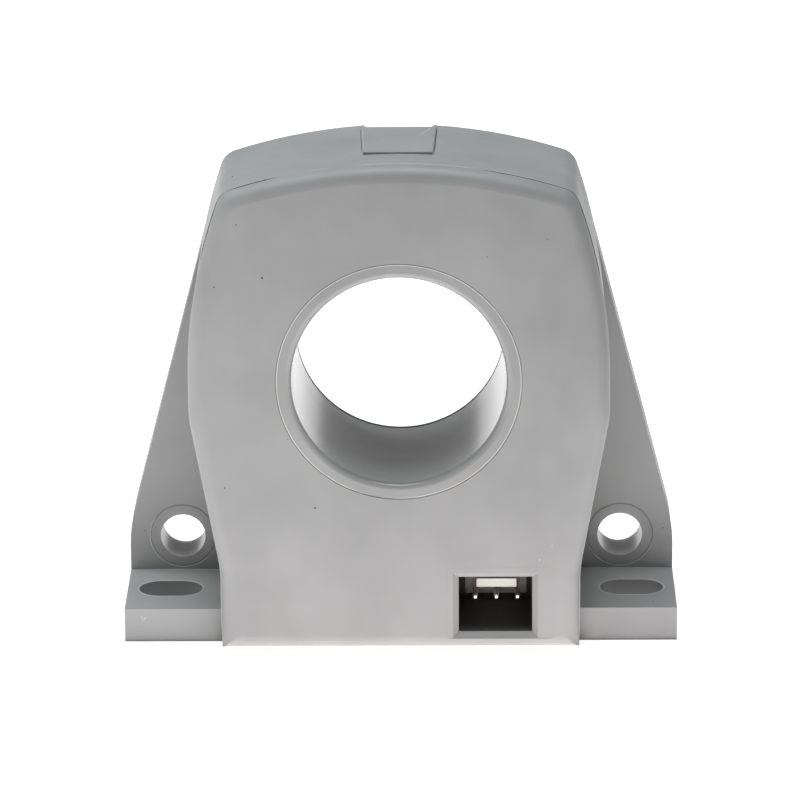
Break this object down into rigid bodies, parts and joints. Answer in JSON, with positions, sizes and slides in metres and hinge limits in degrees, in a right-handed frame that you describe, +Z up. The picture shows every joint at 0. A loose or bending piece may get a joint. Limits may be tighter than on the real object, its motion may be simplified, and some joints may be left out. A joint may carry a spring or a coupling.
{
  "type": "current sensor",
  "caption": "Closed-loop current sensor with a round conductor bore in a moulded, resin-filled case, two slotted feet, drilled side wings and a small pin header socket in front.",
  "frame": {"origin": "middle of the base, halfway along the depth", "axes": "+X to the right of someone who faces the connector side, +Y away from them along the bore, +Z up from the feet"},
  "size_m": [0.0668, 0.0232, 0.0603],
  "materials": {
    "case_plastic": "fine satin, light grey",
    "core_steel": "strip-wound, dull",
    "bobbin_plastic": "matte black",
    "copper_wire": "enamelled copper",
    "tape": "amber film",
    "board_green": "satin solder mask",
    "shroud_black": "matte black",
    "header_plastic": "off-white moulding",
    "tinned_pins": "tin plate",
    "capacitor_can": "bright can",
    "chip_black": "moulded epoxy",
    "resistor_body": "glazed chip",
    "resin": "cast resin, slight sheen"
  },
  "bodies": {
    "root": {"housing": "case_plastic", "ring_core": "core_steel", "front_bobbin_half": "bobbin_plastic", "rear_bobbin_half": "bobbin_plastic", "secondary_winding": "copper_wire", "winding_tape": "tape", "hall_element": "chip_black", "circuit_board": "board_green", "connector_shroud": "shroud_black", "connector_header": "header_plastic", "connector_pin_1": "tinned_pins", "connector_pin_2": "tinned_pins", "connector_pin_3": "tinned_pins", "supply_capacitor_1": "capacitor_can", "supply_capacitor_2": "capacitor_can", "amplifier_chip": "chip_black", "output_transistor_1": "chip_black", "output_transistor_2": "chip_black", "clamp_diode_1": "chip_black", "clamp_diode_2": "chip_black", "resistor_1": "resistor_body", "resistor_2": "resistor_body", "resistor_3": "resistor_body", "resistor_4": "resistor_body", "potting_resin": "resin"}
  },
  "joints": []
}
